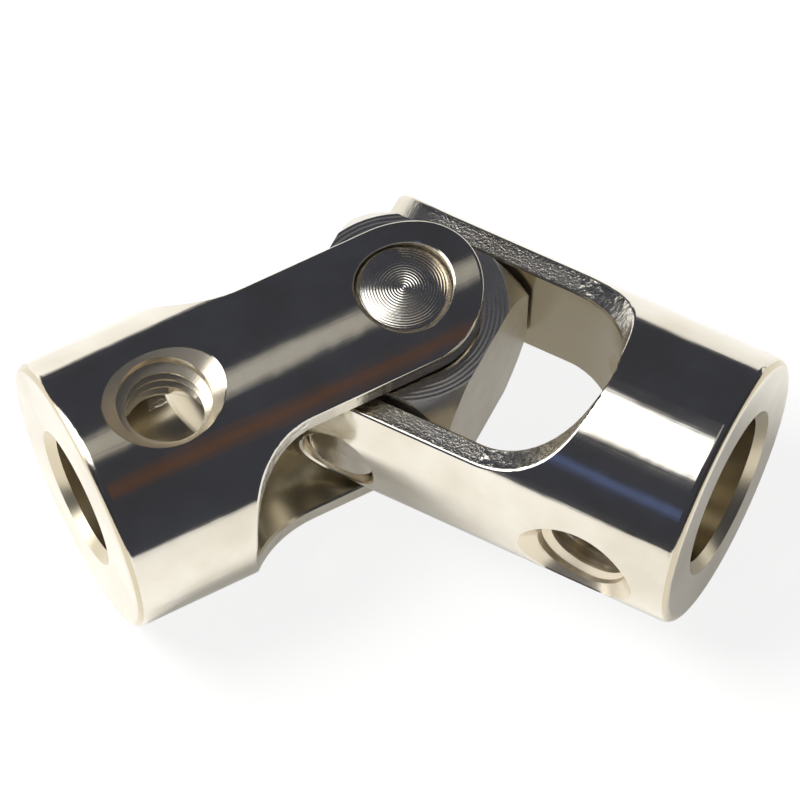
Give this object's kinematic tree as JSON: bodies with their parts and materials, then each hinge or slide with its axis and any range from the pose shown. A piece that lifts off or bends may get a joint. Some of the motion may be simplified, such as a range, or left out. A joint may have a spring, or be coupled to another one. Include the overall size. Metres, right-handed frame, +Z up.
{
  "type": "universal joint",
  "caption": "Small universal joint for two shafts: two forks turn on pins in a centre block, each hub bored and drilled for a set screw.",
  "frame": {"origin": "on the surface the joint lies on, under the middle of the whole part", "axes": "+X from the left hub's side to the right hub's, along the length of the bent joint; +Z up from the surface, across the plane of both hub axes; the open side of the bend faces -Y"},
  "size_m": [0.0244, 0.0142, 0.009],
  "materials": {
    "plated_left": "bright nickel plate over turned and milled steel",
    "plated_right": "bright nickel plate over turned and milled steel",
    "plated_block": "bright nickel plate over milled steel with turned corners",
    "plated_pins": "nickel plated turned pins, rings left by the tool on their ends"
  },
  "bodies": {
    "left_fork": {"left_fork": "plated_left"},
    "cross": {"centre_block": "plated_block", "long_pin": "plated_pins", "front_short_pin": "plated_pins", "rear_short_pin": "plated_pins"},
    "right_fork": {"right_fork": "plated_right"}
  },
  "joints": [
    {"name": "long_pin_turn", "type": "hinge", "parent": "left_fork", "child": "cross", "pos_m": [0, 0.00204, 0.0045], "axis": [0.0256, -0.0493, 0.9985], "range_deg": [-5.2, 114.8]},
    {"name": "short_pin_turn", "type": "hinge", "parent": "cross", "child": "right_fork", "pos_m": [0, 0.00204, 0.0045], "axis": [0.4603, 0.8872, 0.032], "range_deg": [-12.4, 17.6]}
  ]
}
